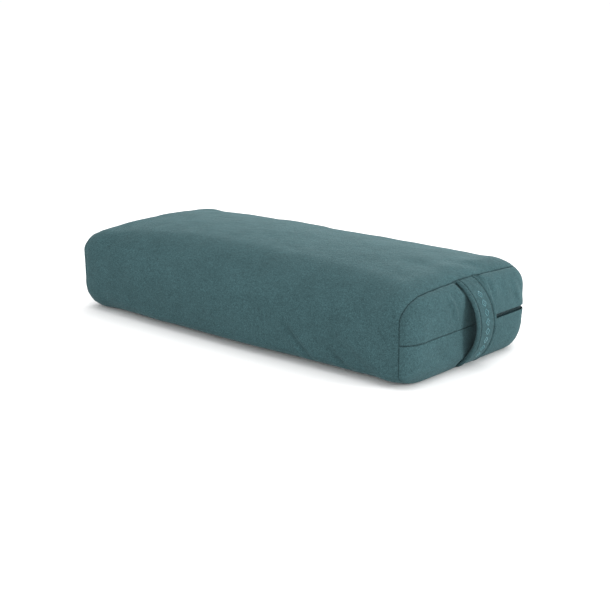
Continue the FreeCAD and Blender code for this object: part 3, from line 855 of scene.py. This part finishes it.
class Chain:
    """The line of the zip: straight along the end, round the back corner and along the back."""

    def __init__(self):
        self.bend_r = CAD_SHOULDER - CHAIN_DEPTH
        self.bend_x = FACE_X - CAD_SHOULDER
        self.back_r = BACK_R - CHAIN_DEPTH
        self.bend_y = BACK_CENTRE_Y + math.sqrt((self.back_r - self.bend_r) ** 2 - self.bend_x ** 2)
        self.bend = math.atan2(self.bend_y - BACK_CENTRE_Y, self.bend_x)
        self.start_y = COIL_LOW[1] + 6.0
        self.straight = self.bend_y - self.start_y
        self.turn = self.bend * self.bend_r
        far = math.pi / 2 - math.asin(ZIP_END_X / self.back_r)
        self.length = self.straight + self.turn + (far - self.bend) * self.back_r

    def __call__(self, s):
        """Places and outward directions at distances along the chain."""
        s = np.asarray(s, float)
        turning = np.clip(s - self.straight, 0, self.turn) / self.bend_r
        back = np.clip(s - self.straight - self.turn, 0, None) / self.back_r
        angle = turning + back
        outward = np.stack([np.cos(angle), np.sin(angle), np.zeros_like(s)], -1)
        level = np.full_like(s, ZIP_Z)
        on_end = np.stack([np.full_like(s, CHAIN_X), self.start_y + s, level], -1)
        on_bend = np.stack([self.bend_x + self.bend_r * np.cos(turning),
                            self.bend_y + self.bend_r * np.sin(turning), level], -1)
        on_back = np.stack([self.back_r * np.cos(angle),
                            BACK_CENTRE_Y + self.back_r * np.sin(angle), level], -1)
        place = np.where((s <= self.straight)[:, None], on_end, on_bend)
        return np.where((s > self.straight + self.turn)[:, None], on_back, place), outward


def build_coil(name, sign, chain, pitch=1.25, wire=0.3, half_w=1.12, half_t=0.55, per_turn=12):
    """One row of the chain: a flattened coil, whose loops reach between the other row's."""
    turns = int(chain.length / pitch)
    t = np.arange(turns * per_turn + 1) / per_turn
    s = (t + (0.25 if sign > 0 else -0.25)) * pitch
    angle = 2 * math.pi * t
    lean = 0.16 * pitch * np.cos(angle)
    place, outward = chain(np.clip(s + lean, 0, chain.length))
    centre = place + np.array([0, 0, sign * (half_w - 0.15)])
    line = centre + outward * (half_t * np.sin(angle))[:, None]
    line = line + np.outer(half_w * np.cos(angle), (0, 0, 1))
    return tube(name, line, wire, 5)


def tube(name, line, radius, sides):
    """A closed tube along a line of points."""
    tangent = np.gradient(line, axis=0)
    tangent /= np.linalg.norm(tangent, axis=1)[:, None]
    helper = np.roll(tangent, 3, axis=0) - tangent
    side = np.cross(tangent, helper + np.array([1e-6, 2e-6, 3e-6]))
    for i in range(1, len(side)):
        if side[i] @ side[i - 1] < 0:
            side[i] = -side[i]
    side /= np.linalg.norm(side, axis=1)[:, None]
    up = np.cross(side, tangent)
    angle = np.linspace(0, 2 * math.pi, sides + 1)[:, None, None]
    rings = line[None] + radius * (np.cos(angle) * side[None] + np.sin(angle) * up[None])
    obj = mesh_from_grids(name, [rings.transpose(1, 0, 2)], weld=0.0005)
    close_ends(obj)
    shade_smooth(obj)
    return obj


# ---- materials ----

def new_material(name):
    material = bpy.data.materials.new(name)
    material.use_nodes = True
    return material, material.node_tree, material.node_tree.nodes["Principled BSDF"]


def set_inputs(made, **values):
    """Set a node's plain inputs, named with underscores for spaces."""
    for key, value in values.items():
        made.inputs[key.replace("_", " ")].default_value = value
    return made


def node(tree, kind, **values):
    return set_inputs(tree.nodes.new(kind), **values)


def noise(tree, where, scale, detail, rough=0.55, stretch=None):
    made = node(tree, "ShaderNodeTexNoise", Scale=scale, Detail=detail, Roughness=rough)
    if stretch:
        mapping = tree.nodes.new("ShaderNodeMapping")
        mapping.inputs["Scale"].default_value = stretch
        tree.links.new(where, mapping.inputs["Vector"])
        where = mapping.outputs["Vector"]
    tree.links.new(where, made.inputs["Vector"])
    return made.outputs["Fac"]


def remap(tree, value, low, high, to_low, to_high):
    made = node(tree, "ShaderNodeMapRange", From_Min=low, From_Max=high, To_Min=to_low, To_Max=to_high)
    tree.links.new(value, made.inputs["Value"])
    return made.outputs["Result"]


def combine(tree, operation, a, b):
    made = tree.nodes.new("ShaderNodeMath")
    made.operation = operation
    for socket, value in zip(made.inputs, (a, b)):
        if isinstance(value, (int, float)):
            socket.default_value = value
        else:
            tree.links.new(value, socket)
    return made.outputs["Value"]


def object_space(tree):
    return tree.nodes.new("ShaderNodeTexCoord").outputs["Object"]


def add_bump(tree, shader, height, strength, distance):
    bump = node(tree, "ShaderNodeBump", Strength=strength, Distance=distance)
    tree.links.new(height, bump.inputs["Height"])
    tree.links.new(bump.outputs["Normal"], shader.inputs["Normal"])


def paint(tree, shader, colour, brightness, roughness):
    """Link a shader's colour, scaled by a brightness value, and its roughness."""
    scaled = tree.nodes.new("ShaderNodeVectorMath")
    scaled.operation = "SCALE"
    scaled.inputs[0].default_value = colour
    tree.links.new(brightness, scaled.inputs["Scale"])
    tree.links.new(scaled.outputs["Vector"], shader.inputs["Base Color"])
    tree.links.new(roughness, shader.inputs["Roughness"])


def suede(name, colour, sheen):
    """Brushed microfibre: clouded by the lie of its nap, with a fine grain and a soft sheen. Its
    colour carries painted shade where the crease attribute is high, in a seam, a fold or a stitched
    valley."""
    material, tree, shader = new_material(name)
    where = object_space(tree)

    def mottle(scale, detail, rough, strength, stretch=None):
        value = noise(tree, where, scale, detail, rough, stretch)
        return remap(tree, value, 0.32, 0.68, 1 - strength, 1 + strength)

    clouds = combine(tree, "MULTIPLY", mottle(16.0, 3.0, 0.55, 0.06),
                     mottle(52.0, 4.0, 0.6, 0.05, (0.7, 1.0, 1.4)))
    grain = combine(tree, "MULTIPLY", mottle(300.0, 4.0, 0.8, 0.18), mottle(760.0, 3.0, 0.7, 0.42))
    # Painted shade: the crease attribute darkens the colour to 0.55 of itself in seams, folds and
    # stitched valleys.
    seam = tree.nodes.new("ShaderNodeAttribute")
    seam.attribute_name = "crease"
    shade = remap(tree, seam.outputs["Fac"], 0.0, 1.0, 1.0, 0.55)
    bright = combine(tree, "MULTIPLY", combine(tree, "MULTIPLY", clouds, grain), shade)
    rough = remap(tree, noise(tree, where, 90.0, 3.0), 0.3, 0.7, 0.86, 0.98)
    paint(tree, shader, colour, bright, rough)
    set_inputs(shader, Specular_IOR_Level=0.06, Sheen_Weight=sheen, Sheen_Roughness=0.38,
               Sheen_Tint=(0.55, 0.84, 0.88, 1))
    fuzz = noise(tree, where, 600.0, 4.0, 0.65)
    lie = noise(tree, where, 120.0, 4.0, 0.6)
    height = combine(tree, "ADD", fuzz, combine(tree, "MULTIPLY", lie, 1.4))
    add_bump(tree, shader, height, 0.7, 0.0007)
    return material


def thread(name, colour, sheen, rough=0.55):
    """Twisted or satin-laid thread."""
    material, tree, shader = new_material(name)
    where = object_space(tree)
    fibre = noise(tree, where, 1400.0, 3.0, 0.6, (1.0, 1.0, 2.2))
    paint(tree, shader, colour, remap(tree, fibre, 0.3, 0.7, 0.8, 1.2),
          remap(tree, fibre, 0.3, 0.7, rough - 0.08, rough + 0.1))
    set_inputs(shader, Sheen_Weight=sheen)
    add_bump(tree, shader, fibre, 0.4, 0.0001)
    return material


def woven(name, colour, count=1700.0, contrast=0.16, rough=0.85, sheen=0.15):
    """Plain weave, from two crossed waves in object space."""
    material, tree, shader = new_material(name)
    where = object_space(tree)
    bands = []
    for direction in ("DIAGONAL", "Z"):
        wave = node(tree, "ShaderNodeTexWave", Scale=count / 6.0, Distortion=0.6, Detail=1.0)
        wave.bands_direction = direction
        tree.links.new(where, wave.inputs["Vector"])
        bands.append(wave.outputs["Fac"])
    weave = combine(tree, "MULTIPLY", bands[0], bands[1])
    mottled = combine(tree, "MULTIPLY", remap(tree, weave, 0, 1, 1 - contrast, 1 + contrast),
                      remap(tree, noise(tree, where, 60.0, 3.0), 0.3, 0.7, 0.94, 1.06))
    paint(tree, shader, colour, mottled, remap(tree, weave, 0, 1, rough - 0.06, rough + 0.06))
    set_inputs(shader, Sheen_Weight=sheen, Specular_IOR_Level=0.15)
    add_bump(tree, shader, weave, 0.5, 0.0002)
    return material


def nylon(name, colour):
    """Dyed monofilament: satin, with faint drawn streaks."""
    material, tree, shader = new_material(name)
    where = object_space(tree)
    streak = noise(tree, where, 800.0, 3.0)
    paint(tree, shader, colour, remap(tree, streak, 0.3, 0.7, 0.88, 1.12),
          remap(tree, streak, 0.3, 0.7, 0.34, 0.48))
    set_inputs(shader, Specular_IOR_Level=0.25)
    return material


def metal(name, colour, metallic, rough):
    """Enamelled or plain metal, with fine scuffs that polish it and lighten its colour."""
    material, tree, shader = new_material(name)
    where = object_space(tree)
    scuff = noise(tree, where, 900.0, 5.0, 0.7, (1.0, 3.0, 1.0))
    paint(tree, shader, colour, remap(tree, scuff, 0.35, 0.75, 0.9, 1.2),
          remap(tree, scuff, 0.3, 0.7, rough - 0.08, rough + 0.1))
    set_inputs(shader, Metallic=metallic)
    add_bump(tree, shader, scuff, 0.15, 0.0001)
    return material


def dress(obj, material):
    obj.data.materials.clear()
    obj.data.materials.append(material)


# ---- stage, in metres and degrees ----

FLOOR_HALF = 40.0
FLOOR_LEVEL = -0.0004     # just under the part, so that the two faces don't flicker
FLOOR_GREY = 0.85
SKY = 1.2
CAMERA_AZIMUTH = 41.1
CAMERA_ELEVATION = 15.342
CAMERA_TARGET = (0.0281, -0.0035, 0.0363)
CAMERA_DISTANCE = 2.0405
CAMERA_LENS = 79.44


def build_stage():
    """Pale floor, soft lights and the camera."""
    mesh = bpy.data.meshes.new("floor")
    corners = [(x * FLOOR_HALF, y * FLOOR_HALF, FLOOR_LEVEL)
               for x, y in ((-1, -1), (1, -1), (1, 1), (-1, 1))]
    mesh.from_pydata(corners, [], [(0, 1, 2, 3)])
    floor = add_object("floor", mesh)
    material, _, shader = new_material("floor_white")
    set_inputs(shader, Base_Color=(FLOOR_GREY, FLOOR_GREY, FLOOR_GREY, 1), Roughness=0.9,
               Specular_IOR_Level=0.1)
    dress(floor, material)

    world = bpy.data.worlds.new("studio")
    bpy.context.scene.world = world
    world.use_nodes = True
    set_inputs(world.node_tree.nodes["Background"], Color=(1.0, 1.0, 1.0, 1), Strength=SKY)

    def area(name, place, target, width, height, power):
        data = bpy.data.lights.new(name, "AREA")
        data.shape = "RECTANGLE"
        data.size, data.size_y = width, height
        data.energy = power
        lamp = add_object(name, data)
        lamp.location = place
        lamp.rotation_euler = (Vector(target) - Vector(place)).to_track_quat("-Z", "Y").to_euler()

    area("top_softbox", (0.0, 0.0, 2.5), (0, 0, 0.05), 2.0, 2.0, 20)
    area("back_softbox", (-0.5, 2.4, 1.1), (0, 0, 0.05), 2.4, 2.0, 44)
    area("front_softbox", (0.9, -2.5, 0.9), (0.1, 0, 0.06), 1.4, 1.4, 27)
    area("end_softbox", (2.4, 0.9, 0.5), (0.3, 0, 0.06), 0.7, 0.7, 50)

    data = bpy.data.cameras.new("camera")
    camera = add_object("camera", data)
    azimuth, elevation = math.radians(CAMERA_AZIMUTH), math.radians(CAMERA_ELEVATION)
    target = Vector(CAMERA_TARGET)
    back = Vector((math.sin(azimuth) * math.cos(elevation), -math.cos(azimuth) * math.cos(elevation),
                   math.sin(elevation)))
    camera.location = target + back * CAMERA_DISTANCE
    camera.rotation_euler = (-back).to_track_quat("-Z", "Y").to_euler()
    data.lens = CAMERA_LENS
    data.sensor_width = 36.0
    data.clip_end = 100
    bpy.context.scene.camera = camera
    bpy.context.scene.view_settings.view_transform = "Standard"


# ---- the scene ----

TEAL = (0.0325, 0.0680, 0.0745)
COVER = suede("cover_suede", TEAL, 0.11)
STRAP_CLOTH = suede("handle_suede", tuple(c * 0.95 for c in TEAL), 0.11)
STITCH_THREAD = thread("sewing_thread", (0.022, 0.052, 0.058), sheen=0.05)
MOTIF_THREAD = thread("embroidery_thread", (0.065, 0.19, 0.218), sheen=0.1, rough=0.32)
TAPE_CLOTH = woven("zip_tape_weave", (0.009, 0.028, 0.033), sheen=0.0)
COIL_NYLON = nylon("zip_coil_nylon", (0.010, 0.032, 0.038))
ENAMEL = metal("zip_enamel", (0.02, 0.05, 0.055), 0.2, 0.4)
BARE_METAL = metal("zip_stop_metal", (0.30, 0.31, 0.32), 1.0, 0.38)
COTTON = woven("liner_cotton", (0.62, 0.6, 0.55), 2600.0, 0.08)

build_stage()

places, fine = simulate()
used = WRINKLE_SHARE * np.clip(fine, -WRINKLE_CAP, WRINKLE_CAP)
wrinkles = Field(places, used, WRINKLE_BLEND)

pillow, wrap, far_panel, upper, lower = build_cover(wrinkles)
bag = build_inner_bag(pillow)
strap = build_strap()
stitching = build_stitching()
motif = build_motif()
chain = Chain()
coil_upper = build_coil("zip_coil_upper_filament", 1, chain)
coil_lower = build_coil("zip_coil_lower_filament", -1, chain)

pieces = [
    (wrap, COVER, "cover_suede", ["cover_wrap"], 0.9),
    (far_panel, COVER, "cover_suede", ["far_end_panel"], 0.9),
    (upper, COVER, "cover_suede", ["handle_end_upper_panel"], 0.9),
    (lower, COVER, "cover_suede", ["handle_end_lower_panel"], 0.9),
    (bag, COTTON, "liner_cloth",
     ["liner_body", "liner_handle_end", "liner_far_end", "fibre_fill"], 0.9),
    (strap, STRAP_CLOTH, "handle_suede",
     ["handle_face", "handle_back", "handle_padding"], 0.6),
    (stitching, STITCH_THREAD, "sewing_thread", ["handle_stitching"], None),
    (motif, MOTIF_THREAD, "embroidery_thread", ["handle_motif"], None),
    (coil_upper, COIL_NYLON, "zip_coil", ["zip_coil_upper"], None),
    (coil_lower, COIL_NYLON, "zip_coil", ["zip_coil_lower"], None),
]
for piece, material, slot, nodes, fill in pieces:
    dress(piece, material)
    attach(piece, "bolster")
    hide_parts(*nodes)

kept_nodes = {
    "zip_tape_upper": TAPE_CLOTH, "zip_tape_lower": TAPE_CLOTH, "zip_slider": ENAMEL,
    "zip_pull_tab": ENAMEL, "zip_top_stops": BARE_METAL, "zip_bottom_stop": BARE_METAL,
}
for name, material in kept_nodes.items():
    dress(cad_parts[name], material)
